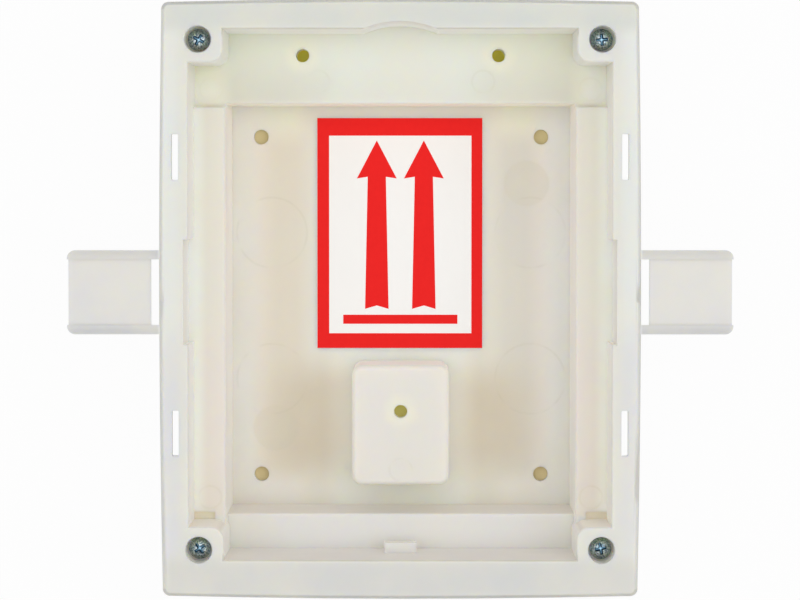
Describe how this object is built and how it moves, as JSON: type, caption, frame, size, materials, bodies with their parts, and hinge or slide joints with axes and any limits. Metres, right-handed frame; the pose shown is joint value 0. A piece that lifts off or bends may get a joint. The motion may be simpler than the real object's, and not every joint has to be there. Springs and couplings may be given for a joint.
{
  "type": "flush mounting box",
  "caption": "Open flush wall box with a flange, stepped shelves, a pedestal, screwed corner bosses and break-off side tabs, for building an electronic unit into a wall.",
  "frame": {"origin": "middle of the box's outline, on the plane of its back", "axes": "+X to the right as seen from the room, +Y up the wall, +Z out of the open front"},
  "size_m": [0.1458, 0.1314, 0.045],
  "materials": {
    "body_plastic": "satin off-white moulded plastic, a little translucent",
    "screw_zinc": "bright bluish zinc plating",
    "label_film": "white printed film"
  },
  "bodies": {
    "root": {"box_body": "body_plastic", "cover_screws": "screw_zinc", "orientation_label": "label_film"}
  },
  "joints": []
}
